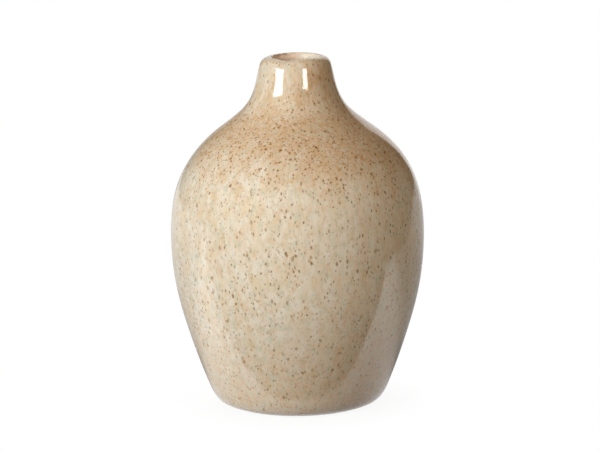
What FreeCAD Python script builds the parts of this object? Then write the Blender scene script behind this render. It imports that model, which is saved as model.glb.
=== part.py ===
import FreeCAD, Part
import math
import os

# Bottle vase: a stoneware pot with a narrow tapered neck, glazed outside, inside and in its foot.
# Millimetres, +Z up, origin at the middle of the foot, on the table.
# Every face is turned about +Z, so the model is one half outline in radius and height.

# Heights of the outside, each measured from the level below it
glaze_edge_rise = 0.45
heel_rise = 6.75
lower_body_rise = 66.45
upper_body_rise = 25.6
shoulder_rise = 20.1
neck_flare_rise = 14.6
neck_rise = 11.95
lip_rise = 4.5

# Radii of the glazed outside at those levels
glaze_edge_radius = 32.1
heel_radius = 38.35
belly_radius = 54.35
upper_belly_radius = 49.8
shoulder_radius = 33.0
neck_radius = 18.65
throat_radius = 9.4
lip_inner_width = 1.55
lip_outer_width = 4.55

# Directions of the outside at those levels, in degrees from level, going up the wall
glaze_edge_lean = 13.0
heel_lean = 67.7
upright = 90.0
upper_belly_lean = 113.9
shoulder_lean = 144.2
neck_lean = 112.8
lip_lean = 103.1
level = 180.0

# The throat, below the crown of the lip
lip_inner_drop = 2.1
lap_drop = 9.5
lap_radius = 11.3
lap_lean = 110.0

# The clay: its wall, its floor, and the share of the lowest wall arc that the inside corner takes
clay_wall = 3.6
floor_thickness = 5.0
floor_radius = 24.0
floor_corner_share = 0.16

# The foot: bare clay round a shallow glazed recess
bare_edge_width = 1.5
foot_ring_width = 4.8
recess_depth = 2.1
recess_edge_width = 2.2

# The coats of glaze
outer_glaze_thickness = 0.45
liner_glaze_thickness = 0.35
foot_glaze_thickness = 0.35

half_turn = 180.0
full_turn = 360.0

# Levels of the outside, up from the table
glaze_edge_z = glaze_edge_rise
heel_z = glaze_edge_z + heel_rise
belly_z = heel_z + lower_body_rise
upper_belly_z = belly_z + upper_body_rise
shoulder_z = upper_belly_z + shoulder_rise
neck_z = shoulder_z + neck_flare_rise
lip_z = neck_z + neck_rise
crown_z = lip_z + lip_rise

crown_radius = throat_radius + lip_inner_width
lip_radius = crown_radius + lip_outer_width
foot_outer_radius = glaze_edge_radius - bare_edge_width
foot_inner_radius = foot_outer_radius - foot_ring_width
recess_radius = foot_inner_radius - recess_edge_width
floor_z = recess_depth + floor_thickness

# A station is (radius, height, direction in degrees); a bend is an arc or straight run between two.


def bow(turn):
    """Chord of an arc over its length, where the arc turns by twice this many degrees."""
    angle = math.radians(turn)
    return math.sin(angle) / angle if angle else 1.0


def along(bend, share):
    """The station at a share of the way along a bend."""
    (r0, z0, lean0), (r1, z1, lean1) = bend
    turn = lean1 - lean0
    length = math.hypot(r1 - r0, z1 - z0) / bow(turn / 2)
    reach = share * length * bow(share * turn / 2)
    heading = math.radians(lean0 + share * turn / 2)
    return (r0 + reach * math.cos(heading), z0 + reach * math.sin(heading), lean0 + share * turn)


def bend_to(start, r, z):
    """The bend that leaves a station in its direction and ends at a point."""
    heading = math.degrees(math.atan2(z - start[1], r - start[0]))
    turn = (2 * (heading - start[2]) + half_turn) % full_turn - half_turn
    return (start, (r, z, start[2] + turn))


def two_bends(start, end):
    """Two bends that meet smoothly and keep the direction at both stations."""
    (r0, z0, lean0), (r1, z1, lean1) = start, end
    cos0, sin0 = math.cos(math.radians(lean0)), math.sin(math.radians(lean0))
    cos1, sin1 = math.cos(math.radians(lean1)), math.sin(math.radians(lean1))
    across, up = r1 - r0, z1 - z0
    ahead = across * (cos0 + cos1) + up * (sin0 + sin1)
    gap = across ** 2 + up ** 2
    spread = 2 * (1 - cos0 * cos1 - sin0 * sin1)
    if spread * gap > ahead ** 2 / 1e9:
        arm = (math.sqrt(ahead ** 2 + spread * gap) - ahead) / spread
    else:
        arm = gap / (2 * ahead)
    first = bend_to(start, (r0 + r1 + arm * (cos0 - cos1)) / 2, (z0 + z1 + arm * (sin0 - sin1)) / 2)
    return [first, (first[1], end)]


def chain(stations):
    """Smooth bends through a list of stations."""
    bends = []
    for start, end in zip(stations, stations[1:]):
        bends += two_bends(start, end)
    return bends


def moved(station, distance):
    """A station moved square to its direction, to the right when looking along it."""
    r, z, lean = station
    angle = math.radians(lean)
    return (r + distance * math.sin(angle), z - distance * math.cos(angle), lean)


def offset(bends, distance):
    """Parallel bends, to the right when looking along them."""
    return [(moved(start, distance), moved(end, distance)) for start, end in bends]


def turned_back(bends):
    """The same bends in the other order and direction."""
    return [((r1, z1, lean1 + half_turn), (r0, z0, lean0 + half_turn))
            for (r0, z0, lean0), (r1, z1, lean1) in reversed(bends)]


def straight(r0, z0, r1, z1):
    """A straight bend between two points."""
    lean = math.degrees(math.atan2(z1 - z0, r1 - r0))
    return ((r0, z0, lean), (r1, z1, lean))


def edge(bend):
    """The edge of a bend, in the XZ plane."""
    points = [FreeCAD.Vector(r, 0, z) for r, z, lean in (bend[0], along(bend, 1 / 2), bend[1])]
    if abs(bend[1][2] - bend[0][2]) < 1e-6:
        return Part.LineSegment(points[0], points[2]).toShape()
    return Part.Arc(*points).toShape()


def turned(bends):
    """The solid that an outline sweeps in a full turn about +Z. Its last gap is closed straight."""
    closing = straight(*bends[-1][1][:2], *bends[0][0][:2])
    outline = Part.Wire([edge(bend) for bend in bends + [closing]])
    return Part.Face(outline).revolve(FreeCAD.Vector(0, 0, 0), FreeCAD.Vector(0, 0, 1), full_turn)


def coat(bends, thickness):
    """The half outline of a coat of even thickness over some of the clay's bends."""
    skin = offset(bends, thickness)
    end = straight(*bends[-1][1][:2], *skin[-1][1][:2])
    return bends + [end] + turned_back(skin)


def outside():
    """The clay under the outer glaze, going up: its heel, then its wall, then its neck and lip."""
    heel = (heel_radius, heel_z, heel_lean)
    neck = (neck_radius, neck_z, neck_lean)
    glazed = [
        chain([(glaze_edge_radius, glaze_edge_z, glaze_edge_lean), heel]),
        chain([
            heel,
            (belly_radius, belly_z, upright),
            (upper_belly_radius, upper_belly_z, upper_belly_lean),
            (shoulder_radius, shoulder_z, shoulder_lean),
            neck,
        ]),
        chain([neck, (lip_radius, lip_z, lip_lean), (crown_radius, crown_z, level)]),
    ]
    return [offset(bends, -outer_glaze_thickness) for bends in glazed]


def throat(crown):
    """The clay from the crown of the lip down to the line where the two glazes meet."""
    return chain([
        crown,
        (throat_radius + outer_glaze_thickness, crown_z - lip_inner_drop, upright + half_turn),
        (lap_radius, crown_z - lap_drop, lap_lean + half_turn),
    ])


def inside(outer_wall, lap):
    """The clay from the lap line down the wall, which keeps its thickness, to the middle of the floor."""
    lowest = outer_wall[0]
    kept = [(along(lowest, floor_corner_share), lowest[1])] + outer_wall[1:]
    wall = turned_back(offset(kept, -clay_wall))
    floor_edge = (floor_radius, floor_z, level)
    return (two_bends(lap, wall[0][0]) + wall + two_bends(wall[-1][1], floor_edge)
            + [straight(floor_radius, floor_z, 0, floor_z)])


def recess():
    """The clay of the recess, from its middle out to the inner corner of the foot ring."""
    ceiling = straight(0, recess_depth, recess_radius, recess_depth)
    return [ceiling] + two_bends(ceiling[1], (foot_inner_radius, 0, 0))


def foot_ring(glaze_edge):
    """The bare clay that stands on the table, and its rounded outer edge up to the glaze."""
    ring = straight(foot_inner_radius, 0, foot_outer_radius, 0)
    return [ring, bend_to(ring[1], *glaze_edge[:2])]


def main():
    os.makedirs("parts", exist_ok=True)
    heel, wall, lip = outside()
    under_outer = heel + wall + lip + throat(lip[-1][1])
    under_liner = inside(wall, under_outer[-1][1])
    hollow = recess()
    under_foot_glaze = hollow[:-1]
    bare = foot_ring(heel[0][0])
    solids = {
        "clay_body": turned(hollow + bare + under_outer + under_liner),
        "outer_glaze": turned(coat(under_outer, outer_glaze_thickness)),
        "liner_glaze": turned(coat(under_liner, liner_glaze_thickness)),
        "foot_glaze": turned(coat(under_foot_glaze, foot_glaze_thickness)),
    }
    for name, solid in solids.items():
        solid.exportStep("parts/" + name + ".step")


main()
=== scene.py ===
import math
from types import SimpleNamespace

import bpy
from bpy.props import FloatProperty, FloatVectorProperty, IntProperty, PointerProperty
from bpy.types import Operator, Panel, PropertyGroup
from mathutils import Matrix, Vector


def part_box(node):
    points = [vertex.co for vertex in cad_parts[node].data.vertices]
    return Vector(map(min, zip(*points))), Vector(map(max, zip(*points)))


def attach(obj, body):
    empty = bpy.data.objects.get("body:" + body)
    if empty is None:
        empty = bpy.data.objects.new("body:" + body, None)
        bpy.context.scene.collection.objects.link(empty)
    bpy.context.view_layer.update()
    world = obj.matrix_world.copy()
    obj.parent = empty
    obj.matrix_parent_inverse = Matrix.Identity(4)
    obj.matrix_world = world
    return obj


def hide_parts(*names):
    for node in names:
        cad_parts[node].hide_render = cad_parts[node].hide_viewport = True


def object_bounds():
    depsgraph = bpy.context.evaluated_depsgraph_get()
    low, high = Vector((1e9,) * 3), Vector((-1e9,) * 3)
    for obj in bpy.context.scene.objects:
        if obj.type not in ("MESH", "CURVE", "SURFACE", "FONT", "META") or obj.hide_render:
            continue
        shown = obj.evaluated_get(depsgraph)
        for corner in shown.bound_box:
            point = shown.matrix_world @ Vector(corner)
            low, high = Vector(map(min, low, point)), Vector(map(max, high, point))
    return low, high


bl_info = {
    "name": "Bottle Vase",
    "version": (1, 0),
    "blender": (4, 5, 0),
    "location": "3D View > Sidebar > Vase",
    "description": "Makes a stoneware bottle vase with its coats of glaze, and a plain stage for it",
    "category": "Add Mesh",
}

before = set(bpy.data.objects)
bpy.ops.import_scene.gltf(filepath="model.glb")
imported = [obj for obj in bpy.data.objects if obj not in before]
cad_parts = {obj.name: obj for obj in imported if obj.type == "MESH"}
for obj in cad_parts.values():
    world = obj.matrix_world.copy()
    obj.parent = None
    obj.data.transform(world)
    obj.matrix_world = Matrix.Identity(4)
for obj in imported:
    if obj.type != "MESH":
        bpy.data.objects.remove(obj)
cad_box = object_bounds()

MM = 0.001
HALF_TURN = math.pi
FULL_TURN = 2 * math.pi
BOX_TOLERANCE = 0.1 * MM
MERGE_DISTANCE = 0.001 * MM
LEAST_WEIGHT = 0.0005
NEARLY_PARALLEL = 1e-9
BAND_STEPS = 24
GLAZE_IOR = 1.5
NOISE_MIDDLE = 0.5
# The smallest speck's share of the largest, and the shares of a speck's radius where its halo
# is full and where it has faded
LEAST_SPECK_SHARE = 0.5
HALO_CORE_SHARE = 0.8
HALO_REACH_SHARE = 2.2


def length(name, description, millimetres):
    """A property that holds a length, given in millimetres."""
    return FloatProperty(name=name, description=description, default=millimetres * MM,
                         subtype="DISTANCE", unit="LENGTH", precision=5)


def angle(name, description, degrees):
    """A property that holds an angle, given in degrees."""
    return FloatProperty(name=name, description=description, default=math.radians(degrees),
                         subtype="ANGLE", unit="ROTATION")


def share(name, description, value):
    """A property that holds a share between nothing and all."""
    return FloatProperty(name=name, description=description, default=value, min=0, max=1,
                         subtype="FACTOR")


def plain(name, description, value):
    """A property that holds a bare number."""
    return FloatProperty(name=name, description=description, default=value)


def colour(name, description, *display):
    """A property that holds a colour, given as a screen shows it, from 0 to 255."""
    return FloatVectorProperty(name=name, description=description, size=3, min=0, max=1,
                               default=[linear(part / 255) for part in display], subtype="COLOR")


def linear(part):
    """The amount of light that a screen gives for a colour part between 0 and 1."""
    return part / 12.92 if part <= 0.04045 else ((part + 0.055) / 1.055) ** 2.4


class VaseOutside(PropertyGroup):
    """The glazed outside: radius, height and direction going up the wall at each level"""

    glaze_edge_radius: length("Glaze edge radius", "Where the glaze starts, over the table", 32.1)
    glaze_edge_height: length("Glaze edge height", "Where the glaze starts, over the table", 0.45)
    glaze_edge_lean: angle("Glaze edge direction", "From level, going up the wall", 13.0)
    heel_radius: length("Heel radius", "Where the rounded heel ends", 38.35)
    heel_height: length("Heel height", "Where the rounded heel ends", 7.2)
    heel_lean: angle("Heel direction", "From level, going up the wall", 67.7)
    belly_radius: length("Belly radius", "The widest part", 54.35)
    belly_height: length("Belly height", "The widest part", 73.65)
    upper_belly_radius: length("Upper belly radius", "Half way from belly to shoulder", 49.8)
    upper_belly_height: length("Upper belly height", "Half way from belly to shoulder", 99.25)
    upper_belly_lean: angle("Upper belly direction", "From level, going up the wall", 113.9)
    shoulder_radius: length("Shoulder radius", "The flattest part of the shoulder", 33.0)
    shoulder_height: length("Shoulder height", "The flattest part of the shoulder", 119.35)
    shoulder_lean: angle("Shoulder direction", "From level, going up the wall", 144.2)
    neck_radius: length("Neck radius", "The foot of the neck", 18.65)
    neck_height: length("Neck height", "The foot of the neck", 133.95)
    neck_lean: angle("Neck direction", "From level, going up the wall", 112.8)
    lip_radius: length("Lip radius", "The outer edge of the lip", 15.22)
    lip_height: length("Lip height", "The outer edge of the lip", 147.1)
    lip_lean: angle("Lip direction", "From level, going up the wall", 103.5)
    crown_radius: length("Crown radius", "The top of the lip", 10.95)
    crown_height: length("Crown height", "The top of the lip", 150.4)


class VaseInside(PropertyGroup):
    """The clay under the glaze, its throat, wall, floor and foot"""

    throat_radius: length("Throat radius", "The narrowest part, on the clay", 9.85)
    throat_drop: length("Throat drop", "From the crown down to the narrowest part", 2.1)
    lap_radius: length("Lap radius", "Where the two glazes meet, on the clay", 11.3)
    lap_drop: length("Lap drop", "From the crown down to where the two glazes meet", 9.5)
    lap_lean: angle("Lap direction", "From level, going down the throat", 290.0)
    clay_wall: length("Clay wall", "Thickness of the wall", 3.6)
    floor_height: length("Floor height", "Inside floor of the clay, over the table", 7.1)
    floor_radius: length("Floor radius", "The flat part of the inside floor", 24.0)
    floor_corner: share("Floor corner", "Part of the lowest wall arc that the corner takes", 0.16)
    foot_outer_radius: length("Foot ring outer radius", "The bare ring that stands on the table", 30.6)
    foot_inner_radius: length("Foot ring inner radius", "The bare ring that stands on the table", 25.8)
    recess_radius: length("Recess radius", "The flat part of the recess in the foot", 23.6)
    recess_depth: length("Recess depth", "Height of the recess over the table", 2.1)


class VaseGlaze(PropertyGroup):
    """How thick the coats are, and how finely the pieces are drawn and turned"""

    outer_thickness: length("Outer glaze", "Thickness of the speckled coat", 0.45)
    liner_thickness: length("Liner glaze", "Thickness of the coat inside", 0.35)
    foot_thickness: length("Foot glaze", "Thickness of the coat in the recess", 0.35)
    shown_step: length("Shown step", "Longest step along a surface that shows", 1.0)
    hidden_step: length("Hidden step", "Longest step along a surface between two pieces", 2.5)
    foot_step: length("Foot step", "Longest step along the bare foot ring", 0.4)
    turn_step: angle("Turn step", "Largest change of direction in one step", 9.0)
    around: IntProperty(name="Steps around", description="Steps in a full turn", default=256, min=32)


class VaseHand(PropertyGroup):
    """What the hand left: a middle line that wanders and a lip that isn't level"""

    side_bulge: length("Side bulge", "How far the upper body stands out to one side", 0.45)
    side_bulge_height: length("Side bulge height", "Its middle, over the table", 108.0)
    side_bulge_reach: length("Side bulge reach", "How far up and down it fades", 14.0)
    lip_root: length("Lip root", "Height under which the lip's wave leaves the neck alone", 139.0)
    lip_sink: length("Lip sink", "How far the lip's mean level is under its highest point", 0.3)
    low_spot: length("Low spot", "Depth of the low spot in front", 0.75)
    low_spot_side: angle("Low spot side", "Its direction, seen from above", -110.0)
    low_spot_reach: angle("Low spot reach", "How far round it fades", 19.0)
    high_spot: length("High spot", "Height of the high spot in front", 0.3)
    high_spot_side: angle("High spot side", "Its direction, seen from above", -63.0)
    high_spot_reach: angle("High spot reach", "How far round it fades", 24.0)
    left_dip: length("Left dip", "Depth of the wide dip at the left", 0.3)
    left_dip_side: angle("Left dip side", "Its direction, seen from above", 180.0)
    left_dip_reach: angle("Left dip reach", "How far round it fades", 60.0)


class VaseLook(PropertyGroup):
    """Colours of the glazes and of the clay"""

    cream: colour("Cream", "The lightest glaze, where it lies thick", 233, 225, 207)
    oat: colour("Oat", "The usual glaze", 229, 211, 181)
    peach: colour("Peach", "Warm flecks in the glaze", 220, 196, 159)
    rose: colour("Rose", "Pinkish flecks in the glaze", 223, 199, 180)
    moss: colour("Moss", "Greenish grey flecks in the glaze", 206, 204, 180)
    amber: colour("Amber", "The browner glaze round the shoulder", 204, 170, 130)
    speck: colour("Speck", "Iron specks in the glaze", 122, 98, 64)
    rust: colour("Rust", "Iron specks in the browner glaze", 116, 86, 52)
    faint_speck: colour("Faint speck", "Specks that lie deep in the glaze", 172, 143, 104)
    halo: colour("Halo", "The glaze round a speck", 201, 153, 104)
    # Painted glints: tiny near-white dots where the glaze catches the light.
    glint: colour("Spark", "Tiny pale crystals in the glaze", 255, 236, 196)
    # The throat's pink tint is painted warm bounce light inside the mouth.
    throat: colour("Throat", "The speckled glaze where it runs thin into the mouth", 240, 211, 193)
    # The liner's darker, pinker colour is painted shade and warm bounce light of the inside.
    liner: colour("Liner", "The glaze inside", 196, 164, 138)
    clay: colour("Clay", "The bare stoneware of the foot ring", 196, 172, 140)
    grog: colour("Grog", "Dark grains in the stoneware", 128, 98, 70)


class VaseMarks(PropertyGroup):
    """Sizes of the clouds, flecks and specks in the glaze and in the clay"""

    sway_size: length("Sway size", "Waves that push the marks about", 2.0)
    sway_reach: length("Sway reach", "How far they push", 0.9)
    drift_size: length("Drift size", "The widest clouds", 9.0)
    drift_reach: length("Drift reach", "How far the edges of the zones wander with them", 30.0)
    patch_size: length("Patch size", "Cream patches in the oat glaze", 3.0)
    tint_size: length("Tint size", "Peach, rose and moss flecks", 3.0)
    fleck_size: length("Fleck size", "Flecks in the amber glaze", 1.5)
    grain_size: length("Grain size", "The finest grain of the glaze", 0.75)
    run_width: length("Run width", "Thin upright runs", 1.1)
    swell_size: length("Swell size", "Soft waves of the glaze's skin", 4.0)
    swell_depth: length("Swell depth", "How deep they are", 0.02)
    cloud_stretch: share("Cloud stretch", "The less, the longer the marks run down the wall", 0.5)
    tint_stretch: share("Tint stretch", "The same for the peach, rose and moss flecks", 0.7)
    run_stretch: share("Run stretch", "The same for the thin runs", 0.16)
    speck_stretch: share("Speck stretch", "The same for the specks", 0.56)
    crowd_size: length("Crowd size", "Places where the specks lie closer", 4.5)
    ragged_size: length("Ragged size", "Waves that make a speck's edge ragged", 0.6)
    ragged_reach: length("Ragged reach", "How far they push it", 0.35)
    fine_spacing: length("Fine spacing", "From one place for a fine speck to the next", 0.9)
    fine_radius: length("Fine radius", "The largest fine speck", 0.27)
    middle_spacing: length("Middle spacing", "From one place for a middling speck to the next", 1.3)
    middle_radius: length("Middle radius", "The largest middling speck", 0.39)
    bold_spacing: length("Bold spacing", "From one place for a bold speck to the next", 2.1)
    bold_radius: length("Bold radius", "The largest bold speck", 0.54)
    # The pale dots set out here are painted glints.
    glint_spacing: length("Crystal spacing", "From one place for a pale crystal to the next", 2.6)
    glint_radius: length("Crystal radius", "The largest crystal", 0.22)
    liner_run_width: length("Liner run width", "Runs in the glaze inside", 2.5)
    liner_run_stretch: share("Liner run stretch", "The less, the longer they are", 0.3)
    pinhole_spacing: length("Pinhole spacing", "From one place for a pinhole to the next", 2.2)
    pinhole_radius: length("Pinhole radius", "The largest pinhole", 0.3)
    sand_size: length("Sand size", "Grain of the bare clay", 0.5)
    sand_depth: length("Sand depth", "How rough the bare clay is", 0.06)
    clay_cloud_size: length("Clay cloud size", "Paler clouds in the bare clay", 5.0)
    grog_spacing: length("Grog spacing", "From one place for a dark grain to the next", 1.1)
    grog_radius: length("Grog radius", "The largest dark grain", 0.28)


class VaseZones(PropertyGroup):
    """Where the outer glaze changes up the wall, and across it, measured to the right of the middle. Some
    zones hold painted shade and a painted highlight
    """

    # Warmer and darker to the right: painted shade of the side that lies away from the key lamp.
    right_shade_start: length("Right start", "Where it starts to turn warmer", -20.0)
    right_shade_end: length("Right end", "Where it is warmest", 40.0)
    right_shade_drop: length("Right drop", "How much lower the amber band reaches at the right", 6.0)
    band_start: length("Band start", "Under the upper belly", 4.0)
    band_end: length("Band end", "Over the shoulder", 2.0)
    above_start: length("Pale neck start", "Over the shoulder", 3.0)
    # Towards the foot the glaze turns amber: partly its own browner tone, partly painted shade where the
    # light falls off towards the table.
    foot_start: length("Foot start", "Over the table, where it starts to turn amber", 55.0)
    foot_end: length("Foot end", "Over the table, where it is most amber", 5.0)
    hem_height: length("Hem height", "Brown edge over the bare foot ring", 1.2)
    mouth_width: length("Mouth width", "From the crown inwards, over which the mouth's colour sets in", 1.0)
    mouth_rise: length("Mouth rise", "Over the neck, above which the inside is the mouth", 5.0)
    # The mouth's pale right side is a painted highlight.
    mouth_highlight_start: length("Pale mouth start", "Where the mouth starts to turn pale", -1.0)
    mouth_highlight_end: length("Pale mouth end", "Where the mouth is palest", 4.0)
    # The dark ring at the mouth's left end is painted shadow where the hole lies in shade, drawn in the
    # rust colour.
    mouth_shadow_inset: length("Stain inset", "Of the iron stain, from the crown inwards", 0.8)
    mouth_shadow_core: length("Stain core", "Half its full width", 0.2)
    mouth_shadow_reach: length("Stain reach", "Half its faded width", 0.7)
    mouth_shadow_start: length("Stain start", "Where it sets in", 1.0)
    mouth_shadow_end: length("Stain end", "Where it is full", -4.0)
    mouth_shadow_rise: length("Stain rise", "Over the lip's edge, where it is full", 1.0)


class VaseTable(PropertyGroup):
    """The table: white to the camera, and pale up to its front edge where the glaze mirrors it"""

    white_share: share("White share", "Part of it near the vase that the lamps don't light", 0.93)
    shade_start: length("Shade start", "From the middle, where the camera sees its full shade", 34.0)
    shade_end: length("Shade end", "From the middle, where that shade has faded", 64.0)
    paleness: share("Paleness", "How pale it is under the lamps", 0.9)
    bounce: share("Bounce", "Part of the lamps' light that it throws back at the vase", 0.4)
    front_edge: length("Front edge", "Where its mirrored part ends, behind the middle", -44.0)
    edge_blur: length("Edge blur", "Half the width over which it ends", 2.0)
    left_blur: length("Left blur", "How much wider that is at the far left", 40.0)
    left_blur_start: length("Left blur start", "Where that sets in, to the right of the middle", -60.0)
    left_blur_end: length("Left blur end", "Where that is full", -220.0)
    right_fade_slant: plain("Right fade slant", "How far its fade at the right leans outwards behind", 0.9)
    right_fade_start: length("Right fade start", "Where that sets in, beside the vase", 220.0)
    right_fade_end: length("Right fade end", "Where it has faded", 380.0)
    back_light: plain("Back light", "How bright the glaze mirrors it beside the vase", 0.38)
    foot_share: share("Foot share", "Part of that light at the foot", 0.05)
    foot_start: length("Foot start", "From the middle, where it is as dim as that", 36.0)
    foot_end: length("Foot end", "From the middle, where it has its full light", 120.0)
    far_light: plain("Far light", "How much brighter it is far behind", 0.24)
    far_start: length("Far start", "Where that sets in, behind the middle", 130.0)
    far_end: length("Far end", "Where that is full", 400.0)
    front_light: plain("Front light", "How bright the glaze mirrors its front", 1.7)
    front_start: length("Front start", "Where that sets in, behind the middle", 55.0)
    front_end: length("Front end", "Where that is full", -25.0)
    front_foot_share: share("Front foot share", "Part of that light at the foot", 0.85)
    front_foot_end: length("Front foot end", "From the middle, where it has its full light", 66.0)
    left_light: plain("Left light", "How much brighter it is at the left", 0.28)
    left_start: length("Left start", "Where that sets in, to the right of the middle", -30.0)
    left_end: length("Left end", "Where that is full", -120.0)
    left_behind: share("Left behind", "Part of that light added all along, behind the front too", 0.5)


class VaseStage(PropertyGroup):
    """Camera, floor, lamps and what the glaze mirrors"""

    camera_distance: length("Camera distance", "In front of the vase's middle", 1500.0)
    camera_height: length("Camera height", "Over the table", 363.07)
    camera_pitch: angle("Camera pitch", "How far it looks down", 10.806)
    camera_yaw: angle("Camera yaw", "How far it looks to the right", 0.044)
    camera_roll: angle("Camera roll", "How far it leans to the right", 0.696)
    camera_lens: plain("Camera lens", "Focal length in millimetres on a sensor 36 mm wide", 213.31)
    camera_reach: length("Camera reach", "How far it sees", 20000.0)
    floor_size: length("Floor size", "Each side of the floor", 8000.0)
    floor_drop: length("Floor drop", "Under the foot ring, so that the two don't share a plane", 0.02)
    room_glow: plain("Room glow", "Even light from all round", 0.02)
    dark_room: plain("Dark room", "What the glaze mirrors where nothing pale stands", 0.005)
    backdrop_light: plain("Backdrop light", "How bright the glaze mirrors the backdrop", 0.95)
    backdrop_left_light: plain("Backdrop left light", "The same at its left end", 0.35)
    backdrop_left_end: plain("Backdrop left end", "Where it is that dim, in widths from its middle", -0.5)
    backdrop_left_start: plain("Backdrop left start", "Where it starts to dim", 0.1)
    backdrop_distance: length("Backdrop distance", "Behind the vase, only mirrored", 600.0)
    backdrop_side: length("Backdrop side", "Its middle, to the right of the vase's", 46.0)
    backdrop_width: length("Backdrop width", "Only mirrored", 493.0)
    backdrop_height: length("Backdrop height", "Only mirrored", 900.0)
    strip_distance: length("Strip distance", "From the vase to the two upright strips", 1000.0)
    strip_low: length("Strip bottom", "Over the table", 270.0)
    strip_light: plain("Strip light", "Brightness of the two strips", 19.0)
    left_strip_top: length("Left strip top", "Over the table", 650.0)
    left_strip_side: angle("Left strip side", "Its left end, from the front", -67.0)
    left_strip_sweep: angle("Left strip width", "As the vase sees it", 28.0)
    right_strip_top: length("Right strip top", "Over the table", 504.0)
    right_strip_side: angle("Right strip side", "Its left end, from the front", 22.0)
    right_strip_sweep: angle("Right strip width", "As the vase sees it", 13.5)
    card_distance: length("Card distance", "Of the dark card that cuts the left strip slanting", 990.0)
    card_side: angle("Card side", "Its left end, from the front", -72.5)
    card_sweep: angle("Card width", "As the vase sees it", 12.0)
    card_slant: angle("Card slant", "How far its top leans to the right", -6.5)
    flag_radius: length("Flag radius", "Of the dark band that keeps the strips off the body", 115.0)
    flag_low: length("Flag bottom", "Over the table", 97.0)
    flag_top: length("Flag top", "Over the table", 147.0)
    flag_side: angle("Flag side", "Its left end, from the front", -90.0)
    flag_sweep: angle("Flag width", "Round the vase", 150.0)
    key_side: angle("Key side", "From the front, to the right", -45.0)
    key_rise: angle("Key rise", "Over level", 20.0)
    key_distance: length("Key distance", "From the vase's middle", 1100.0)
    key_size: length("Key size", "Each side of the lamp", 650.0)
    key_power: plain("Key power", "In watts", 11.4)
    fill_side: angle("Fill side", "From the front, to the right", 42.0)
    fill_rise: angle("Fill rise", "Over level", 45.0)
    fill_distance: length("Fill distance", "From the vase's middle", 1100.0)
    fill_size: length("Fill size", "Each side of the lamp", 500.0)
    fill_power: plain("Fill power", "In watts", 3.8)
    fill_colour: colour("Fill colour", "Warmer than the key, as by a wall", 255, 234, 208)
    edge_side: angle("Edge lamp side", "From the front, to the right", -145.0)
    edge_rise: angle("Edge lamp rise", "Over level", 38.0)
    edge_distance: length("Edge lamp distance", "From the vase's middle", 1100.0)
    edge_size: length("Edge lamp size", "Each side of the lamp", 500.0)
    edge_power: plain("Edge lamp power", "In watts", 3.7)
    back_side: angle("Back lamp side", "From the front, to the right", 170.0)
    back_rise: angle("Back lamp rise", "Over level", 12.0)
    back_distance: length("Back lamp distance", "From the vase's middle", 1100.0)
    back_size: length("Back lamp size", "Each side of the lamp", 500.0)
    back_power: plain("Back lamp power", "In watts", 9.0)


SETTINGS = {
    "vase_outside": VaseOutside,
    "vase_inside": VaseInside,
    "vase_glaze": VaseGlaze,
    "vase_hand": VaseHand,
    "vase_look": VaseLook,
    "vase_marks": VaseMarks,
    "vase_zones": VaseZones,
    "vase_table": VaseTable,
    "vase_stage": VaseStage,
}


# Outlines. A station is (radius, height, direction in radians); a bend is an arc or straight run
# between two stations, and an outline is a list of bends.


def bow(turn):
    """Chord of an arc over its length, where the arc turns by twice this angle."""
    return math.sin(turn) / turn if turn else 1.0


def bend_length(bend):
    """Length along a bend."""
    (r0, z0, lean0), (r1, z1, lean1) = bend
    return math.hypot(r1 - r0, z1 - z0) / bow((lean1 - lean0) / 2)


def along(bend, part):
    """The station at a share of the way along a bend."""
    (r0, z0, lean0), (r1, z1, lean1) = bend
    turn = lean1 - lean0
    reach = part * bend_length(bend) * bow(part * turn / 2)
    heading = lean0 + part * turn / 2
    return (r0 + reach * math.cos(heading), z0 + reach * math.sin(heading), lean0 + part * turn)


def bend_to(start, r, z):
    """The bend that leaves a station in its direction and ends at a point."""
    heading = math.atan2(z - start[1], r - start[0])
    turn = (2 * (heading - start[2]) + HALF_TURN) % FULL_TURN - HALF_TURN
    return (start, (r, z, start[2] + turn))


def two_bends(start, end):
    """Two bends that meet smoothly and keep the direction at both stations."""
    (r0, z0, lean0), (r1, z1, lean1) = start, end
    cos0, sin0, cos1, sin1 = math.cos(lean0), math.sin(lean0), math.cos(lean1), math.sin(lean1)
    across, up = r1 - r0, z1 - z0
    ahead = across * (cos0 + cos1) + up * (sin0 + sin1)
    gap = across ** 2 + up ** 2
    spread = 2 * (1 - cos0 * cos1 - sin0 * sin1)
    if spread * gap > ahead ** 2 * NEARLY_PARALLEL:
        arm = (math.sqrt(ahead ** 2 + spread * gap) - ahead) / spread
    else:
        arm = gap / (2 * ahead)
    middle = (r0 + r1 + arm * (cos0 - cos1)) / 2, (z0 + z1 + arm * (sin0 - sin1)) / 2
    first = bend_to(start, *middle)
    return [first, (first[1], end)]


def chain(stations):
    """Smooth bends through a list of stations."""
    bends = []
    for start, end in zip(stations, stations[1:]):
        bends += two_bends(start, end)
    return bends


def straight(r0, z0, r1, z1):
    """A straight bend between two points."""
    lean = math.atan2(z1 - z0, r1 - r0)
    return ((r0, z0, lean), (r1, z1, lean))


def moved(station, distance):
    """A station moved square to its direction, to the right when looking along it."""
    r, z, lean = station
    return (r + distance * math.sin(lean), z - distance * math.cos(lean), lean)


def offset(bends, distance):
    """Parallel bends, to the right when looking along them."""
    return [(moved(start, distance), moved(end, distance)) for start, end in bends]


def turned_back(bends):
    """The same bends in the other order and direction."""
    return [((r1, z1, lean1 + HALF_TURN), (r0, z0, lean0 + HALF_TURN))
            for (r0, z0, lean0), (r1, z1, lean1) in reversed(bends)]


def trimmed(bends, distance):
    """The bends without the last stretch of this length."""
    last = bends[-1]
    return bends[:-1] + [(last[0], along(last, 1 - distance / bend_length(last)))]


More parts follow.
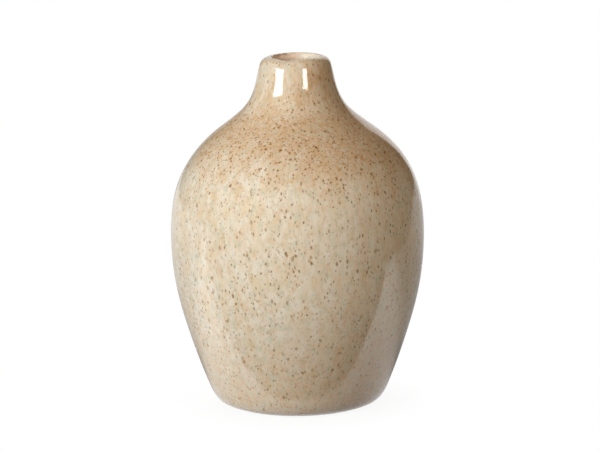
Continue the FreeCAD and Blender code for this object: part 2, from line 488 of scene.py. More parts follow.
def bead(end, thickness):
    """The rounded edge of a coat, from the clay at its end over to its skin."""
    r, z, lean = end
    half = thickness / 2
    middle = moved(end, half)
    tip = bend_to(end, middle[0] + half * math.cos(lean), middle[1] + half * math.sin(lean))
    return [tip, bend_to(tip[1], *moved(end, thickness)[:2])]


def glazed_outside(form):
    """The glazed outside in three lists: its heel, then its wall, then its neck and lip."""
    heel = (form.heel_radius, form.heel_height, form.heel_lean)
    neck = (form.neck_radius, form.neck_height, form.neck_lean)
    return [
        chain([(form.glaze_edge_radius, form.glaze_edge_height, form.glaze_edge_lean), heel]),
        chain([
            heel,
            (form.belly_radius, form.belly_height, HALF_TURN / 2),
            (form.upper_belly_radius, form.upper_belly_height, form.upper_belly_lean),
            (form.shoulder_radius, form.shoulder_height, form.shoulder_lean),
            neck,
        ]),
        chain([
            neck,
            (form.lip_radius, form.lip_height, form.lip_lean),
            (form.crown_radius, form.crown_height, HALF_TURN),
        ]),
    ]


def clay_outlines(scene):
    """The clay's outline in four lists: recess, bare foot ring, under the outer glaze, under the liner."""
    form, inner = scene.vase_outside, scene.vase_inside
    heel, wall, lip = [offset(bends, -scene.vase_glaze.outer_thickness)
                       for bends in glazed_outside(form)]
    throat = chain([
        lip[-1][1],
        (inner.throat_radius, form.crown_height - inner.throat_drop, HALF_TURN * 3 / 2),
        (inner.lap_radius, form.crown_height - inner.lap_drop, inner.lap_lean),
    ])
    kept = [(along(wall[0], inner.floor_corner), wall[0][1])] + wall[1:]
    inside = turned_back(offset(kept, -inner.clay_wall))
    floor_edge = (inner.floor_radius, inner.floor_height, HALF_TURN)
    liner = (two_bends(throat[-1][1], inside[0][0]) + inside + two_bends(inside[-1][1], floor_edge)
             + [straight(inner.floor_radius, inner.floor_height, 0, inner.floor_height)])
    ceiling = straight(0, inner.recess_depth, inner.recess_radius, inner.recess_depth)
    recess = [ceiling] + two_bends(ceiling[1], (inner.foot_inner_radius, 0, 0))
    ring = straight(inner.foot_inner_radius, 0, inner.foot_outer_radius, 0)
    edge = heel[0][0]
    bare = [ring, bend_to(ring[1], edge[0], edge[1])]
    return recess, bare, heel + wall + lip + throat, liner


# Modelling. An outline is drawn in the XZ plane point by point and turned about the upright axis.


def drawn(bends, step, turn_step):
    """Points along the bends, close enough together for both steps, without the very first."""
    points = []
    for bend in bends:
        turn = abs(bend[1][2] - bend[0][2])
        count = max(1, math.ceil(bend_length(bend) / step), math.ceil(turn / turn_step))
        points += [along(bend, (number + 1) / count)[:2] for number in range(count)]
    return points


def turned(name, points, around):
    """A closed mesh object that a list of (radius, height) points sweeps in a full turn."""
    bpy.ops.object.select_all(action="DESELECT")
    bpy.ops.mesh.primitive_plane_add(size=MM)
    piece = bpy.context.object
    piece.name = name
    piece.data.name = name
    bpy.ops.object.mode_set(mode="EDIT")
    bpy.ops.mesh.select_all(action="SELECT")
    bpy.ops.mesh.merge(type="CENTER")
    bpy.ops.transform.translate(value=(points[0][0], 0, points[0][1]))
    for (r0, z0), (r1, z1) in zip(points, points[1:]):
        bpy.ops.mesh.extrude_region_move(TRANSFORM_OT_translate={"value": (r1 - r0, 0, z1 - z0)})
    bpy.ops.object.mode_set(mode="OBJECT")
    lathe = piece.modifiers.new("lathe", "SCREW")
    lathe.steps = around
    lathe.render_steps = around
    bpy.ops.object.modifier_apply(modifier=lathe.name)
    bpy.ops.object.mode_set(mode="EDIT")
    bpy.ops.mesh.select_all(action="SELECT")
    bpy.ops.mesh.remove_doubles(threshold=MERGE_DISTANCE)
    bpy.ops.mesh.normals_make_consistent(inside=False)
    bpy.ops.object.mode_set(mode="OBJECT")
    bpy.ops.object.shade_smooth()
    return piece


def pushed(piece, name, axis, distance, weight_at):
    """Moves a piece's vertices along an axis, by a distance times a weight for each place."""
    group = piece.vertex_groups.new(name=name)
    for vertex in piece.data.vertices:
        weight = weight_at(vertex.co)
        if weight > LEAST_WEIGHT:
            group.add([vertex.index], weight, "REPLACE")
    push = piece.modifiers.new(name, "DISPLACE")
    push.direction = axis
    push.mid_level = 0
    push.strength = distance
    push.vertex_group = group.name
    bpy.ops.object.modifier_apply(modifier=push.name)
    piece.vertex_groups.clear()


def bell(distance, reach):
    """A smooth weight: 1 at no distance, about a third at the reach, then fading out."""
    return math.exp(-(distance / reach) ** 2)


def by_hand(piece, scene):
    """Gives a piece the wandering middle line and the uneven lip that all the pieces share."""
    hand, crown = scene.vase_hand, scene.vase_outside.crown_height

    def bulge(place):
        return bell(place.z - hand.side_bulge_height, hand.side_bulge_reach)

    def lip(place):
        rise = max(0.0, (place.z - hand.lip_root) / (crown - hand.lip_root))
        return min(1.0, rise * rise * (3 - 2 * rise))

    def lip_near(side, reach):
        def weight(place):
            if place.z < hand.lip_root:
                return 0.0
            away = math.remainder(math.atan2(place.y, place.x) - side, FULL_TURN)
            return lip(place) * bell(away, reach)
        return weight

    pushed(piece, "side_bulge", "X", hand.side_bulge, bulge)
    pushed(piece, "lip_sink", "Z", -hand.lip_sink, lip)
    pushed(piece, "low_spot", "Z", -hand.low_spot, lip_near(hand.low_spot_side, hand.low_spot_reach))
    pushed(piece, "high_spot", "Z", hand.high_spot, lip_near(hand.high_spot_side, hand.high_spot_reach))
    pushed(piece, "left_dip", "Z", -hand.left_dip, lip_near(hand.left_dip_side, hand.left_dip_reach))


def check_box(piece, node):
    """Stops the script if a piece reaches out of the box of the node that it stands for."""
    low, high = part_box(node)
    reach = [vertex.co for vertex in piece.data.vertices]
    for axis in range(3):
        least, most = min(co[axis] for co in reach), max(co[axis] for co in reach)
        if least < low[axis] - BOX_TOLERANCE or most > high[axis] + BOX_TOLERANCE:
            raise RuntimeError(f"{piece.name} is from {least:.5f} to {most:.5f} on axis {axis}, "
                               f"but {node} is from {low[axis]:.5f} to {high[axis]:.5f}")


def seated(piece, node, material):
    """Ties a finished piece to the frame and dresses it."""
    check_box(piece, node)
    piece.data.materials.append(material)
    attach(piece, "root")
    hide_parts(node)


# Materials


class Field:
    """A shader value. Arithmetic with fields and numbers adds Math nodes."""

    def __init__(self, recipe, socket):
        self.recipe = recipe
        self.socket = socket

    def also(self, output):
        """Another output of the same node."""
        return Field(self.recipe, self.socket.node.outputs[output])

    def __add__(self, other):
        return self.recipe.math("ADD", self, other)

    def __radd__(self, other):
        return self.recipe.math("ADD", other, self)

    def __sub__(self, other):
        return self.recipe.math("SUBTRACT", self, other)

    def __rsub__(self, other):
        return self.recipe.math("SUBTRACT", other, self)

    def __mul__(self, other):
        return self.recipe.math("MULTIPLY", self, other)

    def __rmul__(self, other):
        return self.recipe.math("MULTIPLY", other, self)

    def __truediv__(self, other):
        return self.recipe.math("DIVIDE", self, other)

    def __rtruediv__(self, other):
        return self.recipe.math("DIVIDE", other, self)


class Recipe:
    """A node tree that is written as calls and sums."""

    def __init__(self, tree):
        self.tree = tree
        self.tree.nodes.clear()

    def add(self, kind, settings=None, sockets=None, output=0):
        """One node: its kind, its settings, the values or links of its sockets, and the output used."""
        node = self.tree.nodes.new("ShaderNode" + kind)
        for name, value in (settings or {}).items():
            setattr(node, name, value)
        for name, value in (sockets or {}).items():
            if isinstance(name, str):
                socket = next(s for s in node.inputs if s.name == name and s.enabled)
            else:
                socket = node.inputs[name]
            if isinstance(value, Field):
                self.tree.links.new(value.socket, socket)
            else:
                socket.default_value = value
        if isinstance(output, str):
            return Field(self, next(s for s in node.outputs if s.name == output and s.enabled))
        return Field(self, node.outputs[output]) if node.outputs else node

    def math(self, operation, *values):
        """One Math node."""
        return self.add("Math", {"operation": operation}, dict(enumerate(values)))

    def ramp(self, value, low, high):
        """0 up to low and 1 from high on, smooth between them; falling where low is over high."""
        return self.add("MapRange", {"interpolation_type": "SMOOTHSTEP"},
                        {"Value": value, "From Min": low, "From Max": high})

    def blend(self, below, above, cover):
        """One colour over another, as far as the cover says."""
        return self.add("Mix", {"data_type": "RGBA"},
                        {"A": paint(below), "B": paint(above), "Factor": cover}, "Result")

    def layered(self, ground, *layers):
        """A ground colour under layers, each a colour and how far it covers what is below."""
        for colour, cover in layers:
            ground = self.blend(ground, colour, cover)
        return ground

    def place(self):
        """The place on the piece, and how far that is to the right of, behind and over the origin."""
        place = self.add("TexCoord", {}, {}, "Object")
        across = self.add("SeparateXYZ", {}, {"Vector": place}, "X")
        return place, across, across.also("Y"), across.also("Z")

    def rays(self):
        """Whether the camera sees a thing, straight or through glass, and whether it is mirrored."""
        ray = self.add("LightPath", {}, {}, "Is Camera Ray")
        seen = self.math("MAXIMUM", ray, ray.also("Is Transmission Ray"))
        return seen, ray.also("Is Glossy Ray")

    def stretched(self, place, *shares):
        """A place with each axis multiplied by a share; a small share draws the marks out on it."""
        return self.add("VectorMath", {"operation": "MULTIPLY"}, {0: place, 1: shares})

    def outward(self, place):
        """How far a place is from the upright axis."""
        level = self.stretched(place, 1, 1, 0)
        return self.add("VectorMath", {"operation": "LENGTH"}, {0: level}, "Value")

    def noise(self, place, size, detail=2.0, roughness=0.5, output="Fac"):
        """Soft noise whose lumps are about this size."""
        return self.add("TexNoise", {}, {"Vector": place, "Scale": 1 / size, "Detail": detail,
                                         "Roughness": roughness}, output)

    def swayed(self, place, size, distance):
        """A place pushed about by noise, up to about half the distance."""
        push = self.noise(place, size, output="Color")
        push = self.add("VectorMath", {"operation": "SUBTRACT"}, {0: push, 1: (NOISE_MIDDLE,) * 3})
        push = self.add("VectorMath", {"operation": "SCALE"}, {0: push, "Scale": distance})
        return self.add("VectorMath", {"operation": "ADD"}, {0: place, 1: push})

    def specks(self, place, spacing, radius, kept, soft):
        """Spots in a part of the cells of a loose lattice, each cell's draw, and soft rings round them."""
        cell = self.add("TexVoronoi", {}, {"Vector": place, "Scale": 1 / spacing}, "Distance")
        draw = self.add("SeparateColor", {}, {"Color": cell.also("Color")}, "Red")
        size = (draw * (1 - LEAST_SPECK_SHARE) + LEAST_SPECK_SHARE) * (radius / spacing)
        spot = self.ramp(cell / size, 1 + soft, 1 - soft)
        held = self.math("LESS_THAN", draw.also("Green"), kept)
        halo = self.ramp(cell / size, HALO_REACH_SHARE, HALO_CORE_SHARE)
        return spot * held, draw.also("Blue"), halo * held


def paint(value):
    """A colour socket's value for a property or a field."""
    return value if isinstance(value, Field) else (*value, 1.0)


def grey(light):
    """A neutral colour socket's value for a number or a field."""
    return light if isinstance(light, Field) else (light, light, light, 1.0)


def new_material(name):
    """An empty material and its recipe."""
    material = bpy.data.materials.new(name)
    material.use_nodes = True
    return material, Recipe(material.node_tree)


def finish_surface(recipe, base, roughness, height, depth):
    """A shader with the varied base colour, roughness and bump."""
    normal = recipe.add("Bump", {}, {"Height": height, "Distance": depth})
    shader = recipe.add("BsdfPrincipled", {}, {
        "Base Color": base, "Roughness": roughness, "Normal": normal, "IOR": GLAZE_IOR})
    recipe.add("OutputMaterial", {}, {"Surface": shader})


def glaze_noises(recipe, marks, place):
    """The soft noises in the outer glaze, most of them drawn out upright as the glaze ran."""
    swayed = recipe.swayed(place, marks.sway_size, marks.sway_reach)
    tall = recipe.stretched(swayed, 1, 1, marks.cloud_stretch)
    tint = recipe.stretched(swayed, 1, 1, marks.tint_stretch)
    tint = recipe.noise(tint, marks.tint_size, 5, 0.6, "Color")
    peach = recipe.add("SeparateColor", {}, {"Color": tint}, "Red")
    run = recipe.stretched(place, 1, 1, marks.run_stretch)
    return SimpleNamespace(
        swayed=swayed,
        drift=recipe.noise(tall, marks.drift_size, 3),
        patch=recipe.noise(tall, marks.patch_size, 4, 0.6),
        fleck=recipe.noise(tall, marks.fleck_size, 3, 0.65),
        grain=recipe.noise(tall, marks.grain_size, 2, 0.6),
        run=recipe.noise(run, marks.run_width, 4, 0.6),
        swell=recipe.noise(tall, marks.swell_size, 1),
        peach=peach,
        rose=peach.also("Green"),
        moss=peach.also("Blue"),
    )


def glaze_zones(recipe, scene, place, across, height, drift):
    """How far a place lies in each zone of the outer glaze, from 0 to 1."""
    form, zones = scene.vase_outside, scene.vase_zones
    wander = (drift - NOISE_MIDDLE) * scene.vase_marks.drift_reach
    # Painted shade: warmer and darker to the right, away from the key lamp
    right = recipe.ramp(across + wander, zones.right_shade_start, zones.right_shade_end)
    above = recipe.ramp(height, form.shoulder_height + zones.above_start, form.neck_height)
    # The amber band reaches lower at the right: painted shade there too
    band = recipe.ramp(height + wander + right * zones.right_shade_drop,
                       form.upper_belly_height - zones.band_start, form.shoulder_height + zones.band_end)
    outward = recipe.outward(place)
    inside = recipe.ramp(outward, form.crown_radius, form.crown_radius - zones.mouth_width)
    # Painted shadow: a dark ring just inside the crown at the mouth's left end
    ring = recipe.math("ABSOLUTE", outward - form.crown_radius + zones.mouth_shadow_inset)
    mouth_shadow = recipe.ramp(ring, zones.mouth_shadow_reach, zones.mouth_shadow_core)
    mouth_shadow = mouth_shadow * recipe.ramp(across, zones.mouth_shadow_start, zones.mouth_shadow_end)
    return SimpleNamespace(
        right=right,
        above=above,
        band=band * (1 - above * (0.9 - right * 0.75)),
        # Amber towards the foot: partly the glaze's own tone, partly painted shade as the light falls off
        # towards the table
        foot=recipe.ramp(height + wander, zones.foot_start, zones.foot_end),
        hem=recipe.ramp(height, form.glaze_edge_height + zones.hem_height, form.glaze_edge_height),
        mouth=inside * recipe.ramp(height, form.neck_height, form.neck_height + zones.mouth_rise),
        # Painted highlight: the mouth turns pale cream towards its right
        mouth_highlight=recipe.ramp(across, zones.mouth_highlight_start, zones.mouth_highlight_end),
        mouth_shadow=mouth_shadow * recipe.ramp(height, form.lip_height, form.lip_height + zones.mouth_shadow_rise),
    )


def glaze_ground(recipe, look, noise, zone):
    """The outer glaze without its specks: clouds, flecks, amber zones, runs, grain and mouth, with painted
    shade to the right and, partly, towards the foot, and painted light and shade in the mouth.
    """
    amber = zone.band * (0.54 + (noise.fleck - 0.45) * 1.7)
    # Amber towards the foot and to the right: painted shade, with some of the foot's own browner tone
    amber = amber + zone.foot * (0.3 + zone.right * 0.3) + zone.right * 0.2
    amber = amber + zone.above * (recipe.ramp(noise.drift, 0.5, 0.6) + zone.right) * 0.35
    run = recipe.ramp(noise.run, 0.5, 0.72) * (0.2 + zone.band * 0.25 + zone.above * 0.2)
    grain = recipe.ramp(noise.grain, 0.5, 0.28) * (0.14 + zone.band * 0.36 + zone.foot * 0.2)
    # The mouth: the throat's pink is painted warm bounce light, and its pale right side a painted highlight
    mouth = recipe.blend(look.throat, look.cream, zone.mouth_highlight)
    return recipe.layered(
        look.cream,
        (look.oat, recipe.ramp(noise.drift * 0.35 + noise.patch * 0.65, 0.42, 0.6)),
        (look.peach, recipe.ramp(noise.peach, 0.46, 0.68) * (0.75 + zone.band * 0.25)),
        (look.amber, amber),
        (look.halo, zone.hem * 0.6),
        (look.rose, recipe.ramp(noise.rose, 0.48, 0.68) * 0.4),
        (look.moss, recipe.ramp(noise.moss, 0.48, 0.68) * (0.7 - zone.band * 0.2)),
        (look.faint_speck, run),
        (look.halo, grain),
        (look.cream, recipe.ramp(noise.grain, 0.55, 0.75) * 0.4),
        (mouth, zone.mouth * (0.6 + zone.mouth_highlight * 0.25)),
        # Painted shadow at the mouth's left end, in the rust colour
        (look.rust, zone.mouth_shadow * recipe.ramp(noise.fleck, 0.35, 0.55) * 0.6),
    )


def glaze_specks(recipe, scene, place, swayed, zone, glaze):
    """The glaze with its iron specks, their halos and painted glints, and where the bold specks are."""
    look, marks = scene.vase_look, scene.vase_marks
    crowd = zone.band * 0.35 + (recipe.noise(place, marks.crowd_size, 2) - NOISE_MIDDLE) * 1.7
    crowd = crowd - zone.mouth * 0.4 - zone.above * 0.25
    iron = recipe.blend(look.speck, look.rust, recipe.math("MAXIMUM", zone.band, zone.foot))
    bolder = 1.1 + zone.band * 0.2 - zone.foot * 0.25
    ragged = recipe.stretched(swayed, 1, 1, marks.speck_stretch)
    ragged = recipe.swayed(ragged, marks.ragged_size, marks.ragged_reach)
    fine, fine_draw, _ = recipe.specks(
        ragged, marks.fine_spacing, marks.fine_radius, crowd + 0.6, 0.5)
    middle, middle_draw, middle_halo = recipe.specks(
        ragged, marks.middle_spacing, marks.middle_radius, crowd + 0.6, 0.45)
    bold, bold_draw, bold_halo = recipe.specks(
        ragged, marks.bold_spacing, marks.bold_radius, crowd * 0.9 + 0.32, 0.4)
    # Painted glints: tiny near-white dots
    glint_dot, glint_draw, _ = recipe.specks(
        place, marks.glint_spacing, marks.glint_radius, 0.25, 0.5)
    speckled = recipe.layered(
        glaze,
        (iron, fine * (0.12 + fine_draw * 0.36) * bolder),
        (look.halo, middle_halo * (0.12 + zone.band * 0.3)),
        (iron, middle * (0.22 + middle_draw * 0.58) * bolder),
        (look.halo, bold_halo * (bold_draw * 0.4 + zone.band * 0.3)),
        (iron, bold * (0.3 + bold_draw * 0.45) * bolder),
        # Painted glints over the glaze
        (look.glint, glint_dot * (0.3 + glint_draw * 0.7)),
    )
    return speckled, bold


def speckled_glaze(scene):
    """The outer glaze: mottled oat and cream, browner round the shoulder, with iron specks and painted
    glints, and painted shade and highlight at the right, the foot and the mouth.
    """
    material, recipe = new_material("speckled_finish")
    place, across, _, height = recipe.place()
    noise = glaze_noises(recipe, scene.vase_marks, place)
    zone = glaze_zones(recipe, scene, place, across, height, noise.drift)
    ground = glaze_ground(recipe, scene.vase_look, noise, zone)
    glaze, bold = glaze_specks(recipe, scene, place, noise.swayed, zone, ground)
    roughness = 0.08 + bold * 0.12 + noise.patch * 0.02 + zone.mouth * 0.35
    finish_surface(recipe, glaze, roughness, noise.swell - bold * 0.15, scene.vase_marks.swell_depth)
    return material


def liner_glaze(scene):
    """The glaze inside: a thinner, pinkish brown coat with a few pinholes; its darker, pinker colour is
    painted shade and warm bounce light.
    """
    look, marks = scene.vase_look, scene.vase_marks
    material, recipe = new_material("liner_finish")
    place = recipe.place()[0]
    runs = recipe.stretched(place, 1, 1, marks.liner_run_stretch)
    runs = recipe.noise(runs, marks.liner_run_width, 3, 0.6)
    holes, _, _ = recipe.specks(place, marks.pinhole_spacing, marks.pinhole_radius, 0.3, 0.4)
    glaze = recipe.layered(
        look.liner,
        (look.oat, recipe.ramp(runs, 0.45, 0.75) * 0.5),
        (look.speck, holes * 0.6),
    )
    finish_surface(recipe, glaze, 0.1 + holes * 0.2, runs - holes, marks.swell_depth)
    return material


def bare_stoneware(scene):
    """The unglazed foot ring: sandy and matt, with paler clouds and dark grains."""
    look, marks = scene.vase_look, scene.vase_marks
    material, recipe = new_material("stoneware_finish")
    place = recipe.place()[0]
    sand = recipe.noise(place, marks.sand_size, 4, 0.7)
    cloud = recipe.noise(place, marks.clay_cloud_size, 3)
    grains, draw, _ = recipe.specks(place, marks.grog_spacing, marks.grog_radius, 0.45, 0.3)
    clay = recipe.layered(
        look.clay,
        (look.cream, recipe.ramp(cloud, 0.4, 0.7) * 0.35),
        (look.grog, grains * (0.5 + draw * 0.5)),
        (look.grog, recipe.ramp(sand, 0.5, 0.8) * 0.3),
    )
    finish_surface(recipe, clay, 0.8 + sand * 0.15, sand + grains * 0.6, marks.sand_depth)
    return material


def shared_material(name, make, scene):
    """The material of this name, made the first time that it is asked for."""
    return bpy.data.materials.get(name) or make(scene)


# Pieces


class StonewareBody(Operator):
    """Makes the fired clay: wall, neck, lip, floor and foot ring in one closed mesh"""

    bl_idname = "mesh.vase_stoneware_body"
    bl_label = "Stoneware body"

    def execute(self, context):
        scene = context.scene
        glaze = scene.vase_glaze
        recess, bare, under_outer, under_liner = clay_outlines(scene)
        points = [recess[0][0][:2]]
        points += drawn(recess[:-1], glaze.hidden_step, glaze.turn_step)
        points += drawn(recess[-1:] + bare, glaze.foot_step, glaze.turn_step)
        points += drawn(under_outer + under_liner, glaze.hidden_step, glaze.turn_step)
        body = turned("stoneware_body", points, glaze.around)
        by_hand(body, scene)
        material = shared_material("stoneware_finish", bare_stoneware, scene)
        seated(body, "clay_body", material)
        return {"FINISHED"}


def coat_points(bends, thickness, glaze, from_axis=False, to_axis=False):
    """The points round a coat: its back along the clay, its skin, and a rounded edge between them."""
    half = thickness / 2
    if not to_axis:
        bends = trimmed(bends, half)
    if not from_axis:
        bends = turned_back(trimmed(turned_back(bends), half))
    skin = turned_back(offset(bends, thickness))
    back_points = drawn(bends, glaze.hidden_step, glaze.turn_step)
    skin_points = drawn(skin, glaze.shown_step, glaze.turn_step)
    far_edge = drawn(bead(bends[-1][1], thickness), glaze.shown_step, glaze.turn_step)
    near_edge = drawn(bead(skin[-1][1], thickness), glaze.shown_step, glaze.turn_step)
    if to_axis:
        return [skin[0][0][:2]] + skin_points + near_edge + back_points
    if from_axis:
        return [bends[0][0][:2]] + back_points + far_edge + skin_points
    return [bends[0][0][:2]] + back_points + far_edge + skin_points + near_edge


class OuterGlaze(Operator):
    """Makes the speckled coat over the outside, the lip and the top of the throat"""

    bl_idname = "mesh.vase_outer_glaze"
    bl_label = "Outer glaze"

    def execute(self, context):
        scene = context.scene
        glaze = scene.vase_glaze
        under_outer = clay_outlines(scene)[2]
        coat = turned("outer_glaze_coat", coat_points(under_outer, glaze.outer_thickness, glaze),
                      glaze.around)
        by_hand(coat, scene)
        material = shared_material("speckled_finish", speckled_glaze, scene)
        seated(coat, "outer_glaze", material)
        return {"FINISHED"}


class LinerGlaze(Operator):
    """Makes the coat inside, from the throat down over the floor"""

    bl_idname = "mesh.vase_liner_glaze"
    bl_label = "Liner glaze"

    def execute(self, context):
        scene = context.scene
        glaze = scene.vase_glaze
        under_liner = clay_outlines(scene)[3]
        points = coat_points(under_liner, glaze.liner_thickness, glaze, to_axis=True)
        coat = turned("liner_glaze_coat", points, glaze.around)
        by_hand(coat, scene)
        material = shared_material("liner_finish", liner_glaze, scene)
        seated(coat, "liner_glaze", material)
        return {"FINISHED"}


class FootGlaze(Operator):
    """Makes the coat in the recess of the foot"""

    bl_idname = "mesh.vase_foot_glaze"
    bl_label = "Foot glaze"

    def execute(self, context):
        scene = context.scene
        glaze = scene.vase_glaze
        under_foot = clay_outlines(scene)[0][:-1]
        points = coat_points(under_foot, glaze.foot_thickness, glaze, from_axis=True)
        coat = turned("foot_glaze_coat", points, glaze.around)
        material = shared_material("speckled_finish", speckled_glaze, scene)
        seated(coat, "foot_glaze", material)
        return {"FINISHED"}


# Stage


def upright(name, radius, low, high, side, sweep, slant=0.0):
    """An open band round the upright axis. Its side is where its left end stands, from the front."""
    start = side - HALF_TURN / 2
    corner = Vector((radius * math.cos(start), radius * math.sin(start), low))
    over = Vector((radius * math.cos(start + slant), radius * math.sin(start + slant), high))
    bpy.ops.object.select_all(action="DESELECT")
    bpy.ops.mesh.primitive_plane_add(size=MM)
    band = bpy.context.object
    band.name = name
    bpy.ops.object.mode_set(mode="EDIT")
    bpy.ops.mesh.select_all(action="SELECT")
    bpy.ops.mesh.merge(type="CENTER")
    bpy.ops.transform.translate(value=corner)
    bpy.ops.mesh.extrude_region_move(TRANSFORM_OT_translate={"value": over - corner})
    bpy.ops.mesh.select_all(action="SELECT")
    bpy.ops.mesh.spin(steps=BAND_STEPS, angle=-sweep, center=(0, 0, 0), axis=(0, 0, 1))
    bpy.ops.object.mode_set(mode="OBJECT")
    return band


def mirrored_only(thing, glow):
    """Makes a stage piece show only where the glaze mirrors it. Glow works out its light in its recipe."""
    for ray in ("camera", "diffuse", "transmission", "volume_scatter", "shadow"):
        setattr(thing, "visible_" + ray, False)
    material, recipe = new_material(thing.name)
    material.cycles.emission_sampling = "NONE"
    light = recipe.add("Emission", {}, {"Color": grey(glow(recipe))})
    recipe.add("OutputMaterial", {}, {"Surface": light})
    thing.data.materials.append(material)


def table_mirror(recipe, table, across, deep, away):
    """How bright the glaze mirrors each place of the table."""
    blur = recipe.ramp(across, table.left_blur_start, table.left_blur_end) * table.left_blur
    blur = blur + table.edge_blur
    pale = recipe.ramp(deep, table.front_edge - blur, table.front_edge + blur)
    slanted = across - deep * table.right_fade_slant
    pale = pale * recipe.ramp(slanted, table.right_fade_end, table.right_fade_start)

    beside = recipe.ramp(away, table.foot_start, table.foot_end) * (1 - table.foot_share)
    beside = (beside + table.foot_share) * table.back_light
    far = recipe.ramp(deep, table.far_start, table.far_end) * table.far_light
    front = recipe.ramp(away, table.foot_start, table.front_foot_end) * (1 - table.front_foot_share)
    front = (front + table.front_foot_share) * recipe.ramp(deep, table.front_start, table.front_end)
    left = recipe.ramp(across, table.left_start, table.left_end) * table.left_light
    light = beside + far + front * (table.front_light - table.back_light)
    return pale * (light + left * (front + table.left_behind))


def table_material(table):
    """White to the camera with a soft shade near the vase; the glaze mirrors it up to its front edge."""
    material, recipe = new_material("white_table")
    material.cycles.emission_sampling = "NONE"
    place, across, deep, _ = recipe.place()
    away = recipe.outward(place)
    seen, mirrored = recipe.rays()
    mirror = table_mirror(recipe, table, across, deep, away)
    glow = recipe.add("Emission", {}, {"Color": seen + mirrored * mirror})
    lit = recipe.add("BsdfDiffuse", {}, {"Color": grey(table.paleness)})
    shade = recipe.ramp(away, table.shade_start, table.shade_end) * (1 - table.white_share)
    white = seen * (shade + table.white_share)
    unlit = (1 - seen) * (1 - table.bounce)
    cover = recipe.math("MAXIMUM", white + unlit, mirrored)
    surface = recipe.add("MixShader", {}, {0: cover, 1: lit, 2: glow})
    recipe.add("OutputMaterial", {}, {"Surface": surface})
    return material


def surroundings(world, stage):
    """White to the camera, dim to the glaze's mirror and an even glow to everything else."""
    world.use_nodes = True
    recipe = Recipe(world.node_tree)
    seen, mirrored = recipe.rays()
    light = seen + (1 - seen) * (mirrored * stage.dark_room + (1 - mirrored) * stage.room_glow)
    glow = recipe.add("Background", {}, {"Color": light})
    recipe.add("OutputWorld", {}, {"Surface": glow})


def add_camera(scene, stage):
    """The camera, in front of the vase at the photo's height and tilt."""
    turn = (Matrix.Rotation(-stage.camera_yaw, 3, "Z")
            @ Matrix.Rotation(HALF_TURN / 2 - stage.camera_pitch, 3, "X")
            @ Matrix.Rotation(-stage.camera_roll, 3, "Z"))
    bpy.ops.object.camera_add(location=(0, -stage.camera_distance, stage.camera_height),
                              rotation=turn.to_euler())
    scene.camera = bpy.context.object
    scene.camera.data.lens = stage.camera_lens
    scene.camera.data.clip_end = stage.camera_reach


def add_floor(stage, table):
    """The white floor, a hair under the foot ring."""
    bpy.ops.mesh.primitive_plane_add(size=stage.floor_size, location=(0, 0, -stage.floor_drop))
    floor = bpy.context.object
    floor.name = "floor"
    floor.data.materials.append(table_material(table))


def add_backdrop(stage):
    """The backdrop, which only the glaze mirrors, dimmer towards its left end."""
    middle = (stage.backdrop_side, stage.backdrop_distance, stage.backdrop_height / 2)
    bpy.ops.mesh.primitive_plane_add(size=1, location=middle, rotation=(HALF_TURN / 2, 0, 0))
    backdrop = bpy.context.object
    backdrop.name = "backdrop"
    backdrop.scale = (stage.backdrop_width, stage.backdrop_height, 1)

    def glow(recipe):
        across = recipe.place()[1]
        rise = recipe.ramp(across, stage.backdrop_left_end, stage.backdrop_left_start)
        return stage.backdrop_left_light + rise * (stage.backdrop_light - stage.backdrop_left_light)

    mirrored_only(backdrop, glow)


def add_bands(stage):
    """The two lit strips that the glaze mirrors, and the dark card and flag that cut them off."""
    left_strip = upright("left_strip", stage.strip_distance, stage.strip_low, stage.left_strip_top,
                         stage.left_strip_side, stage.left_strip_sweep)
    card = upright("card", stage.card_distance, stage.strip_low, stage.left_strip_top,
                   stage.card_side, stage.card_sweep, stage.card_slant)
    right_strip = upright("right_strip", stage.strip_distance, stage.strip_low, stage.right_strip_top,
                          stage.right_strip_side, stage.right_strip_sweep)
    flag = upright("flag", stage.flag_radius, stage.flag_low, stage.flag_top,
                   stage.flag_side, stage.flag_sweep)
    for strip in (left_strip, right_strip):
        mirrored_only(strip, lambda recipe: stage.strip_light)
    for dark in (card, flag):
        mirrored_only(dark, lambda recipe: 0.0)


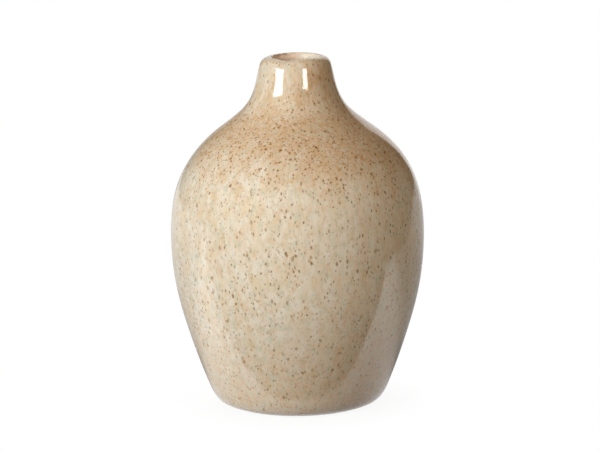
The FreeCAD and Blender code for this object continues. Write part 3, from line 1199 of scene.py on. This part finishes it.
def lamp(name, stage):
    """A soft square lamp that looks at the vase; side 0 is in front, and it grows to the right."""
    side, rise, distance, size, power = [
        getattr(stage, f"{name}_{part}") for part in ("side", "rise", "distance", "size", "power")]
    back = Vector((math.sin(side) * math.cos(rise), -math.cos(side) * math.cos(rise), math.sin(rise)))
    middle = (cad_box[0] + cad_box[1]) / 2
    bpy.ops.object.light_add(type="AREA", location=middle + back * distance,
                             rotation=back.to_track_quat("Z", "Y").to_euler())
    light = bpy.context.object
    light.name = name
    light.data.size = size
    light.data.energy = power
    light.visible_glossy = False
    return light


class VaseStageOperator(Operator):
    """Makes the camera, the white floor, the lamps and what the glaze mirrors"""

    bl_idname = "mesh.vase_stage"
    bl_label = "Stage"

    def execute(self, context):
        scene = context.scene
        stage = scene.vase_stage
        scene.view_settings.view_transform = "Standard"
        scene.world = scene.world or bpy.data.worlds.new("room")
        surroundings(scene.world, stage)
        add_camera(scene, stage)
        add_floor(stage, scene.vase_table)
        add_backdrop(stage)
        add_bands(stage)
        lamps = {name: lamp(name, stage) for name in ("key", "fill", "edge", "back")}
        lamps["fill"].data.color = stage.fill_colour
        return {"FINISHED"}


class VasePanel(Panel):
    """Lists the sizes, the colours and the steps that make the vase"""

    bl_idname = "VIEW3D_PT_bottle_vase"
    bl_label = "Bottle Vase"
    bl_space_type = "VIEW_3D"
    bl_region_type = "UI"
    bl_category = "Vase"

    def draw(self, context):
        for step in STEPS:
            self.layout.operator(step.bl_idname)
        for name, group in SETTINGS.items():
            box = self.layout.box()
            box.label(text=group.__doc__.split(":")[0])
            for setting in group.__annotations__:
                box.prop(getattr(context.scene, name), setting)


STEPS = [VaseStageOperator, StonewareBody, OuterGlaze, LinerGlaze, FootGlaze]
CLASSES = [*SETTINGS.values(), *STEPS, VasePanel]


def register():
    for made in CLASSES:
        bpy.utils.register_class(made)
    for name, group in SETTINGS.items():
        setattr(bpy.types.Scene, name, PointerProperty(type=group))


def unregister():
    for name in SETTINGS:
        delattr(bpy.types.Scene, name)
    for made in reversed(CLASSES):
        bpy.utils.unregister_class(made)


def main():
    register()
    bpy.ops.mesh.vase_stage()
    bpy.ops.mesh.vase_stoneware_body()
    bpy.ops.mesh.vase_outer_glaze()
    bpy.ops.mesh.vase_liner_glaze()
    bpy.ops.mesh.vase_foot_glaze()


if __name__ == "__main__":
    main()
